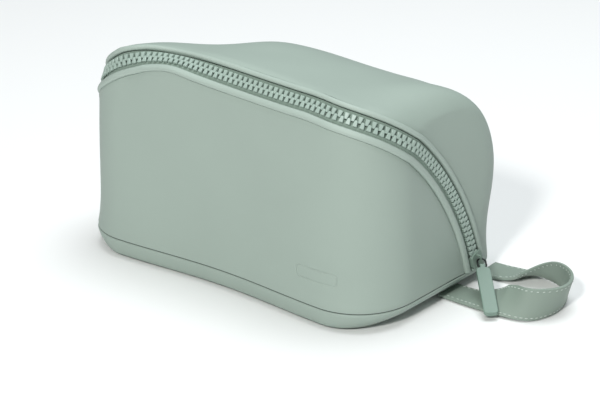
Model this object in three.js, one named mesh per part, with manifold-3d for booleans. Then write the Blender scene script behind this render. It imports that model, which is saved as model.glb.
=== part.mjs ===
// A zipped wash bag: padded front and rear shells, a base tray, a chunky
// moulded zip that runs over the top and down both ends, a slider with a link
// and a rubber pull, and a flat wrist strap at the right-hand end.
// Millimetres, +Z up, -Y front, origin on the underside of the base.
import * as THREE from 'three';
import { mergeVertices } from 'three/addons/utils/BufferGeometryUtils.js';
import Module from 'manifold-3d';

const wasm = await Module();
wasm.setup();

// ---- body ----
const halfLength = 125;
const halfDepth = 72;
const frontCorner = 42;
const rearCorner = 34;
const ridgeHeight = 143.5;      // top of the body along its spine
const ridgeSag = 1.5;
const spineHalf = 66;           // half length of the spine
const spineY = -48;
const wallTop = 40;             // the walls are straight below this
const wallInset = 2.5;
const flareRise = 25;           // the walls flare out to the base over this
const frontSquareness = 6;
const rightSquareness = 4.5;
const rearSquareness = 2.9;
const leftSquareness = 2.5;
const rearCornerSoftness = 0.55; // taken off the squareness at the rear right corner
const leanPerHeight = 0.033;
const frontBow = 5;             // the front wall is pushed in at mid length
const rearSlump = 15;           // the rear left of the top sinks by this
const leftDrop = 4;
const cornerDrop = 7;           // the front left corner of the top sinks by this
const topHump = 3;
const rearPuff = 3.5;

// ---- base ----
const seamHeight = 13;
const seamGap = 0.4;
const frontTuck = 3;            // how far the floor outline lies inside the seam
const endTuck = 17;
const trayWall = 1.6;
const boardThickness = 2;

// ---- layers, as depths below the outer face ----
const coverDepth = 1.2;
const foamTop = 1.5;
const foamBottom = 4.2;
const liningTop = 5.1;
const liningBottom = 5.8;

// ---- zip ----
const trackTop = 140.5;
const trackTilt = 3.8;
const flatRight = 55;
const powerRight = 3.1;
const shoulderRight = 114.8;
const sagRight = 9;
const flatLeft = 29;
const powerLeft = 2.2;
const shoulderLeft = 97.3;
const sagLeft = 6;
const trackEndY = 36;
const trackEndZ = 14;
const shortEndZ = 20.5;         // last full-width section before the base seam
const frontEdge = -9.9;         // across the zip: minus is the front side
const rearEdge = 8.9;
const pipingAcross = -7.5;
const pipingRadius = 2.1;
const bindingAcross = 7.0;
const bindingRadius = 1.6;
const tapeInner = 0.8;
const tapeOuter = 5.1;
const teethOuter = 3.9;
const teethHeight = 2.0;
const teethEndZ = 18;

// ---- slider, link and pull ----
const sliderZ = 21;
const sliderLength = 10.5;
const sliderWidth = 9.8;
const plateLift = 2.6;
const plateThickness = 1.2;
const barLift = 6.5;            // height of the bridge bar's centre
const barHalf = 0.45;
const pullDirection = new THREE.Vector3(0.64, -0.67, -0.37).normalize();
const linkRadius = 2.6;
const linkWire = 0.6;
const linkReach = 5.6;          // from the bridge bar to the bar in the pull
const tabWidth = 10;
const tabThickness = 3;
const tabEnd = 46;
const neckWidth = 3.4;

// ---- strap ----
const strapWidth = 21;
const strapThickness = 2.4;
const strapFloor = 0.2;
const strapTilt = 108;          // tilt of the ribbon at the far end of the loop
const strapStart = 114.5;
const strapSplit = 122;

// ---- sampling ----
const columnsFlat = 12;
const columnsCorner = 8;
const columnsEnd = 8;
const rowsFront = 6;
const rowsRear = 10;

const degrees = Math.PI / 180;
const { clamp, lerp } = THREE.MathUtils;
const smooth = (t) => THREE.MathUtils.smoothstep(t, 0, 1);
const point = (x, y, z) => new THREE.Vector3(x, y, z);

const frontFlat = halfLength - frontCorner;
const frontArc = frontCorner * Math.PI / 2;
const endFlat = 2 * halfDepth - frontCorner - rearCorner;
const rearArc = rearCorner * Math.PI / 2;
const shoulder = frontFlat + frontArc;
const halfRound = shoulder + endFlat + rearArc + halfLength - rearCorner;

// Plan outline: s runs from the front centre, positive round the right end.
function outline(s) {
  const side = s < 0 ? -1 : 1;
  const q = Math.abs(s);
  const rearTurn = shoulder + endFlat;
  let x = q;
  let y = -halfDepth;
  if (q > frontFlat) {
    const turn = (Math.min(q, shoulder) - frontFlat) / frontCorner;
    x = frontFlat + frontCorner * Math.sin(turn);
    y = frontCorner - halfDepth - frontCorner * Math.cos(turn);
  }
  if (q > shoulder) {
    x = halfLength;
    y = frontCorner - halfDepth + Math.min(q, rearTurn) - shoulder;
  }
  if (q > rearTurn) {
    const turn = (Math.min(q, rearTurn + rearArc) - rearTurn) / rearCorner;
    x = halfLength - rearCorner + rearCorner * Math.cos(turn);
    y = halfDepth - rearCorner + rearCorner * Math.sin(turn);
  }
  if (q > rearTurn + rearArc) {
    x = halfLength - rearCorner - (q - rearTurn - rearArc);
    y = halfDepth;
  }
  return { x: side * x, y };
}

function cornerOffset(x, y) {
  const radius = y < 0 ? frontCorner : rearCorner;
  return {
    radius,
    qx: Math.abs(x) - (halfLength - radius),
    qy: Math.abs(y) - (halfDepth - radius),
  };
}

function isInside(x, y) {
  const { radius, qx, qy } = cornerOffset(x, y);
  return Math.hypot(Math.max(qx, 0), Math.max(qy, 0)) + Math.min(Math.max(qx, qy), 0) < radius;
}

function outlineNormal(x, y) {
  const { qx, qy } = cornerOffset(x, y);
  const nx = Math.max(qx, 0) * Math.sign(x);
  const ny = Math.max(qy, 0) * Math.sign(y);
  const size = Math.hypot(nx, ny) || 1;
  return { nx: nx / size, ny: ny / size };
}

function profile(hubX, nx, ny) {
  const endSquareness = nx > 0 ? rightSquareness : leftSquareness;
  const power = frontSquareness * Math.max(-ny, 0) ** 2
    + rearSquareness * Math.max(ny, 0) ** 2
    + endSquareness * nx ** 2
    - rearCornerSoftness * 4 * (Math.max(nx, 0) * Math.max(ny, 0)) ** 2;
  return { power, ridge: ridgeHeight - ridgeSag * (hubX / spineHalf) ** 2 };
}

// The outer surface over a plan map: the spine is the middle of the map, the
// ring at 1 is the top of the straight walls and the ring at 2 is the base seam.
function skin(vx, vy) {
  const hubX = clamp(vx, -spineHalf, spineHalf);
  const away = Math.max(Math.hypot(vx - hubX, vy - spineY), 1e-6);
  const ux = (vx - hubX) / away;
  const uy = (vy - spineY) / away;
  let low = 0;
  let high = 260;
  for (let i = 0; i < 34; i += 1) {
    const middle = (low + high) / 2;
    if (isInside(hubX + ux * middle, spineY + uy * middle)) low = middle;
    else high = middle;
  }
  const ring = away / low;
  const ox = hubX + ux * low;
  const oy = spineY + uy * low;
  const { nx, ny } = outlineNormal(ox, oy);
  const { power, ridge } = profile(hubX, nx, ny);
  const place = point(0, 0, 0);
  if (ring > 1) {
    place.z = wallTop - (wallTop - seamHeight) * (ring - 1);
    const flare = 1 - (1 - clamp((place.z - seamHeight) / flareRise, 0, 1)) ** 2;
    const inset = wallInset * lerp(flare, 1, nx ** 4);
    place.x = ox - nx * inset;
    place.y = oy - ny * inset;
  } else {
    const steep = (1 - ring) ** (power / 2);
    const turn = steep / (steep + ring ** (power / 2)) * Math.PI / 2;
    const out = Math.max(Math.cos(turn), 1e-9) ** (2 / power);
    const up = Math.max(Math.sin(turn), 1e-9) ** (2 / power);
    place.x = hubX + (ox - nx * wallInset - hubX) * out;
    place.y = spineY + (oy - ny * wallInset - spineY) * out;
    place.z = wallTop + (ridge - wallTop) * up;
  }
  const bow = Math.cos(clamp(ox / (frontFlat + 10), -1, 1) * Math.PI / 2) ** 2;
  place.y += frontBow * bow * Math.max(-ny, 0) ** 4 * clamp(ring * 1.2, 0, 1);
  const rise = clamp((place.z - wallTop) / (ridge - wallTop), 0, 1);
  const behind = smooth((place.y + 50) / 55);
  const hump = Math.exp(-(((place.x - 10) / 45) ** 2) - ((place.y - 10) / 35) ** 2);
  place.z -= rearSlump * smooth((-15 - place.x) / 60) * behind * rise;
  place.z -= leftDrop * smooth((-60 - place.x) / 45) * behind * rise;
  place.z -= cornerDrop * smooth((-75 - place.x) / 40) * (1 - behind) * rise;
  place.z += topHump * hump * rise;
  const swell = Math.sin(Math.PI * clamp((place.z - 45) / 80, 0, 1));
  const puff = rearPuff * clamp(ny * 1.3, 0, 1) * swell * clamp(ring * 1.3, 0, 1);
  place.x += nx * puff + leanPerHeight * place.z;
  place.y += ny * puff;
  return place;
}

// Map position of the surface at outline position s and height z.
function mapAt(s, z) {
  const { x, y } = outline(s);
  const hubX = clamp(x, -spineHalf, spineHalf);
  const { nx, ny } = outlineNormal(x, y);
  const { power, ridge } = profile(hubX, nx, ny);
  let ring = 1 + (wallTop - z) / (wallTop - seamHeight);
  if (z > wallTop) {
    const q = clamp((z - wallTop) / (ridge - wallTop), 0, 0.998);
    const share = Math.asin(q ** (power / 2)) / (Math.PI / 2);
    ring = 1 / (1 + (share / (1 - share)) ** (2 / power));
  }
  return new THREE.Vector2(lerp(hubX, x, ring), lerp(spineY, y, ring));
}

function wallAt(s, z) {
  const map = mapAt(s, z);
  return skin(map.x, map.y);
}

// ---- the line of the zip ----
function arcThrough(startY, startZ, sag) {
  const chordY = trackEndY - startY;
  const chordZ = trackEndZ - startZ;
  const chord = Math.hypot(chordY, chordZ);
  const radius = (chord ** 2 / 4 + sag ** 2) / (2 * sag);
  const back = (radius - sag) / chord;
  return {
    radius,
    y: (startY + trackEndY) / 2 + chordZ * back,
    z: (startZ + trackEndZ) / 2 - chordY * back,
  };
}

const shoulderY = frontCorner - halfDepth;
const ends = [
  { side: -1, flat: flatLeft, power: powerLeft, top: shoulderLeft, sag: sagLeft },
  { side: 1, flat: flatRight, power: powerRight, top: shoulderRight, sag: sagRight },
];
for (const end of ends) {
  const high = wallAt(end.side * shoulder, end.top);
  end.startY = high.y;
  end.arc = arcThrough(high.y, high.z, end.sag);
  const low = wallAt(end.side * (shoulder + 60), trackEndZ);
  end.slope = (high.x - low.x) / (high.z - low.z);
  end.x = low.x - end.slope * low.z;
  end.normal = point(end.side, 0, -end.side * end.slope).normalize();
}
const endOf = (s) => ends[s < 0 ? 0 : 1];
const trackEnd = shoulder + trackEndY - shoulderY;

function endY(s) {
  const share = (Math.abs(s) - shoulder) / (trackEnd - shoulder);
  return lerp(endOf(s).startY, trackEndY, share);
}

function trackHeight(s) {
  const end = endOf(s);
  const q = Math.abs(s);
  if (q > shoulder) {
    return end.arc.z + Math.sqrt(end.arc.radius ** 2 - (endY(s) - end.arc.y) ** 2);
  }
  const level = trackTop - trackTilt * (s / 100) * Math.sqrt(1 - q / shoulder);
  const fall = clamp((q - end.flat) / (shoulder - end.flat), 0, 1) ** end.power;
  return level - (trackTop - end.top) * fall;
}

function trackPoint(s) {
  const z = trackHeight(s);
  const end = endOf(s);
  if (Math.abs(s) <= shoulder) return wallAt(s, z);
  return point(end.x + end.slope * z, endY(s), z);
}

function wallNormal(s, z) {
  const along = wallAt(s + 1, z).sub(wallAt(s - 1, z));
  const up = wallAt(s, z + 1).sub(wallAt(s, z - 1));
  return along.cross(up).normalize();
}

// Frame of the zip: along runs with s, out leaves the bag, across is rearward.
function trackFrame(s) {
  const step = 0.5;
  const from = Math.max(s - step, -trackEnd);
  const to = Math.min(s + step, trackEnd);
  const along = trackPoint(to).sub(trackPoint(from)).normalize();
  const end = endOf(s);
  const q = Math.abs(s);
  const out = end.normal.clone();
  if (q < shoulder) {
    out.lerp(wallNormal(s, trackHeight(s)), 1 - smooth((q - shoulder + 40) / 40));
  }
  out.addScaledVector(along, -out.dot(along)).normalize();
  const across = out.clone().cross(along);
  return { at: trackPoint(s), along, out, across };
}

function stationsBetween(from, to, count) {
  return Array.from({ length: count }, (_, i) => lerp(from, to, i / count));
}

function stationAtHeight(side, z) {
  let near = shoulder;
  let far = trackEnd;
  for (let i = 0; i < 30; i += 1) {
    const middle = (near + far) / 2;
    if (trackHeight(side * middle) > z) near = middle;
    else far = middle;
  }
  return side * near;
}

// Stations down an end at even steps of its arc, from the shoulder.
function endStations(side) {
  const { arc, startY } = endOf(side);
  const turnAt = (s) => Math.acos((endY(s) - arc.y) / arc.radius);
  const top = turnAt(side * (shoulder + 1e-6));
  const bottom = turnAt(stationAtHeight(side, shortEndZ));
  return Array.from({ length: columnsEnd + 1 }, (_, i) => {
    const y = arc.y + arc.radius * Math.cos(lerp(top, bottom, i / columnsEnd));
    return side * lerp(shoulder, trackEnd, (y - startY) / (trackEndY - startY));
  });
}

const stations = [
  -trackEnd,
  ...endStations(-1).slice(1).reverse(),
  ...stationsBetween(-shoulder, -frontFlat, columnsCorner),
  ...stationsBetween(-frontFlat, frontFlat, columnsFlat),
  ...stationsBetween(frontFlat, shoulder, columnsCorner),
  ...endStations(1),
  trackEnd,
];
const frames = stations.map((s) => ({ s, ...trackFrame(s) }));
const lastColumn = frames.length - 1;

function bandPoint(frame, across, lift) {
  return frame.at.clone()
    .addScaledVector(frame.across, across)
    .addScaledVector(frame.out, lift);
}

// Slides a point along the zip to a given height, to cut a strip off level.
function cutLevel(frame, place, z) {
  return place.addScaledVector(frame.along, (z - place.z) / frame.along.z);
}

// ---- solids ----
function meshOf(positions, triangles) {
  const geometry = new THREE.BufferGeometry();
  geometry.setAttribute('position', new THREE.Float32BufferAttribute(positions, 3));
  geometry.setIndex(triangles);
  return geometry;
}

function faceOut(geometry) {
  const position = geometry.getAttribute('position');
  const index = geometry.getIndex().array;
  const a = point(0, 0, 0);
  const b = point(0, 0, 0);
  const c = point(0, 0, 0);
  let volume = 0;
  for (let i = 0; i < index.length; i += 3) {
    a.fromBufferAttribute(position, index[i]);
    b.fromBufferAttribute(position, index[i + 1]);
    c.fromBufferAttribute(position, index[i + 2]);
    volume += a.dot(b.cross(c));
  }
  if (volume < 0) {
    for (let i = 0; i < index.length; i += 3) {
      [index[i], index[i + 1]] = [index[i + 1], index[i]];
    }
  }
  return geometry;
}

// Joins closed sections of equal size. The ends meet if it is closed, and are
// otherwise capped, by a fan round the middle or by a strip. The second half of
// a section is split the other way, so the two faces of a shell stay parallel.
function loft(sections, end = 'strip') {
  const size = sections[0].length;
  const positions = sections.flat().flatMap((p) => [p.x, p.y, p.z]);
  const triangles = [];
  const spans = end === 'closed' ? sections.length : sections.length - 1;
  for (let i = 0; i < spans; i += 1) {
    const here = i * size;
    const there = ((i + 1) % sections.length) * size;
    for (let j = 0; j < size; j += 1) {
      const k = (j + 1) % size;
      if (j < size / 2) {
        triangles.push(here + j, there + j, there + k, here + j, there + k, here + k);
      } else {
        triangles.push(here + j, there + j, here + k, there + j, there + k, here + k);
      }
    }
  }
  const far = (sections.length - 1) * size;
  if (end === 'fan') {
    for (const ring of [sections[0], sections.at(-1)]) {
      const middle = ring.reduce((sum, p) => sum.add(p), point(0, 0, 0)).divideScalar(size);
      positions.push(middle.x, middle.y, middle.z);
    }
    const hub = sections.length * size;
    for (let j = 0; j < size; j += 1) {
      const k = (j + 1) % size;
      triangles.push(hub, j, k, hub + 1, far + k, far + j);
    }
  }
  if (end === 'strip') {
    for (let j = 0; j < size / 2 - 1; j += 1) {
      const m = size - 1 - j;
      triangles.push(j, j + 1, m - 1, j, m - 1, m);
      triangles.push(far + j, far + m - 1, far + j + 1, far + j, far + m, far + m - 1);
    }
  }
  return faceOut(meshOf(positions, triangles));
}

function circleSection(count, radius, place) {
  return Array.from({ length: count }, (_, i) => {
    const turn = (i + 0.5) * 2 * Math.PI / count;
    return place(radius * Math.cos(turn), radius * Math.sin(turn));
  });
}

// A strip that runs the whole length of the zip, from its section.
function strip(section, levelZ = seamHeight + seamGap) {
  return loft(frames.map((frame, i) => section(frame).map((place) => {
    if (i > 0 && i < lastColumn) return place;
    return cutLevel(frame, place, levelZ);
  })));
}

function flatStrip(inner, outer, low, high, levelZ) {
  return strip((frame) => [
    bandPoint(frame, inner, high),
    bandPoint(frame, outer, high),
    bandPoint(frame, outer, low),
    bandPoint(frame, inner, low),
  ], levelZ);
}

function roundStrip(across, lift, radius, sides) {
  return strip((frame) => circleSection(sides, radius, (u, v) => (
    bandPoint(frame, across + u, lift + v)
  )));
}

// ---- shells ----
function gridNormal(grid, i, j) {
  const column = grid[i];
  const left = grid[Math.max(i - 1, 0)][j];
  const right = grid[Math.min(i + 1, grid.length - 1)][j];
  const above = column[Math.max(j - 1, 0)];
  const below = column[Math.min(j + 1, column.length - 1)];
  return above.clone().sub(below).cross(left.clone().sub(right)).normalize();
}

// Outward normals; the row beside the zip takes the zip's own direction.
function normalsOf(grid, side, beside) {
  return grid.map((column, i) => column.map((_, j) => (
    j === 0 ? beside[i].out : gridNormal(grid, i, j).multiplyScalar(side)
  )));
}

function shell(grid, normals, top, bottom, pick = () => true) {
  const sections = [];
  grid.forEach((column, i) => {
    if (!pick(i)) return;
    const outer = column.map((p, j) => p.clone().addScaledVector(normals[i][j], -top));
    const inner = column.map((p, j) => p.clone().addScaledVector(normals[i][j], -bottom));
    sections.push([...outer, ...inner.reverse()]);
  });
  return loft(sections);
}

function outlineDirection(s) {
  const ahead = outline(s + 0.5);
  const back = outline(s - 0.5);
  return point(ahead.x - back.x, ahead.y - back.y, 0).normalize();
}

// Edge of a shell beside the zip, with the outline position it lies over.
function shellEdge(frame, across, levelZ) {
  const place = bandPoint(frame, across, 0);
  if (levelZ !== undefined) cutLevel(frame, place, levelZ);
  const shift = place.clone().sub(frame.at).dot(outlineDirection(frame.s));
  return { place, s: frame.s + shift };
}

const frontGrid = frames.slice(1, lastColumn).map((frame) => {
  const edge = shellEdge(frame, frontEdge);
  const low = seamHeight + seamGap;
  const lift = edge.place.clone().sub(wallAt(edge.s, edge.place.z));
  return Array.from({ length: rowsFront + 1 }, (_, j) => {
    const down = j / rowsFront;
    return wallAt(edge.s, lerp(edge.place.z, low, down)).addScaledVector(lift, (1 - down) ** 3);
  });
});

const rearFoot = shoulder + trackEndY - shoulderY + 9;

const rearGrid = frames.map((frame, i) => {
  const atEnd = i === 0 || i === lastColumn;
  const edge = shellEdge(frame, rearEdge, atEnd ? seamHeight + seamGap + 2 : undefined);
  const { ridge } = profile(0, 0, -1);
  const start = mapAt(edge.s, Math.min(edge.place.z, ridge - 2));
  const share = frame.s / trackEnd;
  const foot = Math.sign(share || 1) * lerp(halfRound, rearFoot, Math.abs(share));
  const finish = mapAt(foot, seamHeight + seamGap);
  const span = 0.35 * edge.place.distanceTo(skin(finish.x, finish.y));
  const sideways = span * frame.across.dot(outlineDirection(edge.s));
  const upward = Math.min(edge.place.z + span * frame.across.z, ridge - 4);
  const bend = smooth((Math.abs(frame.s) - shoulder + 30) / 40);
  const guide = mapAt(edge.s + sideways, upward)
    .lerp(start.clone().lerp(finish, 0.5), 1 - bend);
  const rib = new THREE.QuadraticBezierCurve(start, guide, finish);
  const fine = 80;
  const walk = Array.from({ length: fine + 1 }, (_, k) => {
    const map = rib.getPoint(k / fine);
    return skin(map.x, map.y);
  });
  const lift = edge.place.clone().sub(walk[0]);
  const reached = [0];
  for (let k = 1; k <= fine; k += 1) {
    reached.push(reached[k - 1] + walk[k].distanceTo(walk[k - 1]));
  }
  return Array.from({ length: rowsRear + 1 }, (_, j) => {
    const share = j / rowsRear;
    const target = share * reached[fine];
    const k = Math.max(reached.findIndex((value) => value >= target), 1);
    const part = (target - reached[k - 1]) / (reached[k] - reached[k - 1]);
    return walk[k - 1].clone().lerp(walk[k], part).addScaledVector(lift, (1 - share) ** 6);
  });
});

const frontNormals = normalsOf(frontGrid, 1, frames.slice(1, lastColumn));
const rearNormals = normalsOf(rearGrid, -1, frames);

// ---- base ----
const roundCount = 72;
const seamRing = Array.from({ length: roundCount }, (_, i) => {
  const s = shoulder + endFlat / 2 + (i + 0.5) * 2 * halfRound / roundCount;
  const wrapped = s > halfRound ? s - 2 * halfRound : s;
  const { x, y } = outline(wrapped);
  return { seam: wallAt(wrapped, seamHeight), ...outlineNormal(x, y) };
});

function baseRing(z, extra) {
  return seamRing.map(({ seam, nx, ny }) => {
    const tuck = lerp(frontTuck, endTuck, nx ** 2);
    const inset = tuck * (1 - z / seamHeight) ** 2 + extra;
    return point(seam.x - nx * inset, seam.y - ny * inset, z);
  });
}

function tray(floor, rim, inset, thickness) {
  const level = (share) => lerp(floor, rim, share);
  const outer = [0, 0.15, 0.4, 0.7, 1].map((share) => baseRing(level(share), inset));
  const inner = [1, 0.6, 0.3].map((share) => baseRing(level(share), inset + thickness));
  return loft([...outer, ...inner, baseRing(floor + thickness, inset + thickness)], 'fan');
}

function plate(low, high, inset) {
  const ring = baseRing(low, inset);
  return loft([ring, ring.map((p) => point(p.x, p.y, high))], 'fan');
}

// ---- booleans ----
function toManifold(geometry) {
  const plain = geometry.clone();
  plain.deleteAttribute('normal');
  plain.deleteAttribute('uv');
  const merged = mergeVertices(plain, 1e-4);
  return new wasm.Manifold(new wasm.Mesh({
    numProp: 3,
    vertProperties: Float32Array.from(merged.getAttribute('position').array),
    triVerts: Uint32Array.from(merged.getIndex().array),
  }));
}

function fromManifold(solid) {
  const { vertProperties, triVerts } = solid.getMesh();
  return meshOf(Array.from(vertProperties), Array.from(triVerts));
}

function placedBox(sx, sy, sz, x, y, z) {
  return new THREE.BoxGeometry(sx, sy, sz).translate(x, y, z);
}

// ---- slider: x across, y along (down the end), z out ----
function roundedRectangle(width, length, radius) {
  const shape = new THREE.Shape();
  const x = width / 2 - radius;
  const y = length / 2 - radius;
  shape.absarc(x, y, radius, 0, Math.PI / 2);
  shape.absarc(-x, y, radius, Math.PI / 2, Math.PI);
  shape.absarc(-x, -y, radius, Math.PI, Math.PI * 1.5);
  shape.absarc(x, -y, radius, Math.PI * 1.5, Math.PI * 2);
  return shape;
}

function slab(shape, low, high) {
  const options = { depth: high - low, bevelEnabled: false, curveSegments: 4 };
  return new THREE.ExtrudeGeometry(shape, options).translate(0, 0, low);
}

function sliderSolid() {
  const plateTop = plateLift + plateThickness;
  const flange = (sliderWidth / 2 + teethOuter + 0.3) / 2;
  const flangeWidth = sliderWidth / 2 - teethOuter - 0.3;
  const archHeight = barLift + barHalf - plateTop + 0.2;
  const archMiddle = plateTop - 0.2 + archHeight / 2;
  const eyeHeight = barLift - barHalf - plateTop;
  const solids = [
    slab(roundedRectangle(sliderWidth - 1.6, 9, 2.2), -2.5, -1.3),
    placedBox(0.9, 3.2, plateLift + 1.6, 0, 2.4, (plateLift - 1.4) / 2),
    placedBox(flangeWidth, 7, 2.6, flange, 0, 1.6),
    placedBox(flangeWidth, 7, 2.6, -flange, 0, 1.6),
    placedBox(1, 8, archHeight, 0, 0, archMiddle),
  ];
  const eye = toManifold(placedBox(2, 6, eyeHeight, 0, 0, plateTop + eyeHeight / 2));
  let body = toManifold(slab(roundedRectangle(sliderWidth, sliderLength, 2.6), plateLift, plateTop));
  for (const solid of solids) body = body.add(toManifold(solid));
  return fromManifold(body.subtract(eye));
}

// ---- link and pull: x along the pull, y across it, z up off its face ----
function linkSolid() {
  const corner = 1;
  const path = new THREE.Path();
  path.absarc(1, 0, linkRadius, Math.PI / 2, Math.PI * 1.5);
  path.absarc(linkReach - corner, corner - linkRadius, corner, -Math.PI / 2, 0);
  path.absarc(linkReach - corner, linkRadius - corner, corner, 0, Math.PI / 2);
  path.closePath();
  const centres = path.getSpacedPoints(32).slice(0, -1);
  return loft(centres.map((centre, i) => {
    const before = centres.at(i - 1);
    const after = centres[(i + 1) % centres.length];
    const side = point(after.y - before.y, before.x - after.x, 0).normalize();
    return circleSection(8, linkWire, (u, v) => (
      point(centre.x, centre.y, 0).addScaledVector(side, u).setZ(v)
    ));
  }), 'closed');
}

function tabSolid() {
  const neckStart = linkReach - 1.6;
  const bodyStart = linkReach + linkWire + 0.7;
  const round = 2.6;
  const bevel = 0.5;
  const half = tabWidth / 2 - bevel;
  const neck = neckWidth / 2 - bevel;
  const outlineShape = new THREE.Shape();
  outlineShape.moveTo(neckStart + bevel, -neck);
  outlineShape.lineTo(bodyStart + bevel, -neck);
  outlineShape.absarc(bodyStart + round, round - half, round - bevel, Math.PI, Math.PI * 1.5);
  outlineShape.absarc(tabEnd - round, round - half, round - bevel, -Math.PI / 2, 0);
  outlineShape.absarc(tabEnd - round, half - round, round - bevel, 0, Math.PI / 2);
  outlineShape.absarc(bodyStart + round, half - round, round - bevel, Math.PI / 2, Math.PI);
  outlineShape.lineTo(bodyStart + bevel, neck);
  outlineShape.lineTo(neckStart + bevel, neck);
  const options = {
    depth: tabThickness - 2 * bevel,
    bevelThickness: bevel,
    bevelSize: bevel,
    bevelSegments: 2,
    curveSegments: 5,
  };
  const body = new THREE.ExtrudeGeometry(outlineShape, options);
  body.translate(0, 0, bevel - tabThickness / 2);
  const bore = new THREE.CylinderGeometry(linkWire + 0.35, linkWire + 0.35, 8, 12);
  bore.translate(linkReach, 0, 0);
  return fromManifold(toManifold(body).subtract(toManifold(bore)));
}

// ---- strap ----
// The loop is a ribbon whose outer edge stays on the floor. It lies flat at the
// bag and turns up on edge round the bend.
const strapEdge = new THREE.CatmullRomCurve3([
  point(strapStart, 9.5, 0),
  point(strapSplit, 9.5, 0),
  point(142, 9, 0),
  point(160, 9.5, 0),
  point(176, 15, 0),
  point(183, 31, 0),
  point(180, 52, 0),
  point(168, 69, 0),
  point(146, 76, 0),
  point(strapSplit, 73.5, 0),
  point(strapStart, 73, 0),
], false, 'centripetal');

function strapRing(u) {
  const edge = strapEdge.getPointAt(u);
  const along = strapEdge.getTangentAt(u);
  const inward = point(-along.y, along.x, 0);
  const share = clamp((u - strapFrom) / (strapTo - strapFrom), 0, 1);
  const tilt = strapTilt * degrees * Math.sin(Math.PI * share) ** 2.2;
  const over = inward.clone().multiplyScalar(Math.cos(tilt)).setZ(Math.sin(tilt));
  const face = inward.clone().multiplyScalar(-Math.sin(tilt)).setZ(Math.cos(tilt));
  const low = strapFloor + strapThickness / 2 * Math.abs(Math.cos(tilt));
  const corner = (w, side) => edge.clone().setZ(low)
    .addScaledVector(over, w)
    .addScaledVector(face, side * strapThickness / 2);
  return [corner(0, 1), corner(strapWidth, 1), corner(strapWidth, -1), corner(0, -1)];
}

function strapShare(isFar) {
  let low = isFar ? 0.5 : 0;
  let high = isFar ? 1 : 0.5;
  for (let i = 0; i < 40; i += 1) {
    const middle = (low + high) / 2;
    if ((strapEdge.getPointAt(middle).x > strapSplit) === isFar) low = middle;
    else high = middle;
  }
  return low;
}

const strapFrom = strapShare(false);
const strapTo = strapShare(true);

function strapPiece(from, to, count) {
  const rings = Array.from({ length: count + 1 }, (_, i) => strapRing(lerp(from, to, i / count)));
  return loft(rings);
}

// ---- assembly ----
const leather = { color: 0x97a79c, roughness: 0.62, metalness: 0 };
const cloth = { color: 0x7f8e85, roughness: 0.85, metalness: 0 };
const lining = { color: 0x5c6460, roughness: 0.9, metalness: 0 };
const padding = { color: 0xd8d6cc, roughness: 0.95, metalness: 0 };
const board = { color: 0x6b6d68, roughness: 0.8, metalness: 0 };
const toothPlastic = { color: 0x93a29a, roughness: 0.45, metalness: 0 };
const paint = { color: 0x8b9a91, roughness: 0.4, metalness: 0.2 };
const darkMetal = { color: 0x3d4240, roughness: 0.35, metalness: 0.9 };
const rubber = { color: 0x84958b, roughness: 0.6, metalness: 0 };

const group = new THREE.Group();

function addNode(name, geometry, finish, parent = group) {
  const mesh = new THREE.Mesh(geometry, new THREE.MeshStandardMaterial(finish));
  mesh.name = name;
  parent.add(mesh);
  return mesh;
}

const even = (i) => i % 2 === 0;
const isFull = (i) => i > 0 && i < lastColumn;
const between = (from, to) => (i) => frames[i + 1].s > from && frames[i + 1].s < to;
const foamSplit = frontFlat + 6;

addNode('base_panel', tray(0, seamHeight - seamGap, 0, trayWall), leather);
addNode('base_board', plate(trayWall + 0.5, trayWall + 0.5 + boardThickness, trayWall + 2.5), board);
addNode('base_lining', tray(4.5, 11.4, trayWall + 1, 0.7), lining);

addNode('front_panel', shell(frontGrid, frontNormals, 0, coverDepth), leather);
addNode('front_foam', shell(frontGrid, frontNormals, foamTop, foamBottom, between(-foamSplit, foamSplit)), padding);
addNode('end_foam_left', shell(frontGrid, frontNormals, foamTop, foamBottom, between(-400, -foamSplit)), padding);
addNode('end_foam_right', shell(frontGrid, frontNormals, foamTop, foamBottom, between(foamSplit, 400)), padding);
addNode('front_lining', shell(frontGrid, frontNormals, liningTop, liningBottom, even), lining);

addNode('rear_panel', shell(rearGrid, rearNormals, 0, coverDepth), leather);
addNode('rear_foam', shell(rearGrid, rearNormals, foamTop, foamBottom), padding);
addNode('rear_lining', shell(rearGrid, rearNormals, liningTop, liningBottom, isFull), lining);

addNode('front_piping', roundStrip(pipingAcross, 0.3, pipingRadius, 8), leather);
addNode('rear_binding', roundStrip(bindingAcross, 0.4, bindingRadius, 6), leather);
addNode('front_zip_tape', flatStrip(-tapeOuter, -tapeInner, -0.9, -0.1), cloth);
addNode('rear_zip_tape', flatStrip(tapeInner, tapeOuter, -0.9, -0.1), cloth);
addNode('front_teeth', flatStrip(-teethOuter, -tapeInner, 0.2, 0.2 + teethHeight, teethEndZ), toothPlastic);
addNode('rear_teeth', flatStrip(tapeInner, teethOuter, 0.2, 0.2 + teethHeight, teethEndZ), toothPlastic);

function placeOnTrack(side, z) {
  const frame = trackFrame(stationAtHeight(side, z));
  const holder = new THREE.Group();
  const basis = new THREE.Matrix4().makeBasis(frame.across, frame.along, frame.out);
  if (basis.determinant() < 0) basis.makeBasis(frame.across.clone().negate(), frame.along, frame.out);
  holder.quaternion.setFromRotationMatrix(basis);
  holder.position.copy(frame.at);
  group.add(holder);
  return { holder, frame };
}

for (const [name, side] of [['zip_stop_left', -1], ['zip_stop_right', 1]]) {
  const { holder } = placeOnTrack(side, 14.9);
  addNode(name, placedBox(7.6, 1.4, 2.1, 0, 0, 1.25), toothPlastic, holder);
}

const slider = placeOnTrack(1, sliderZ);
addNode('slider_body', sliderSolid(), paint, slider.holder);

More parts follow.
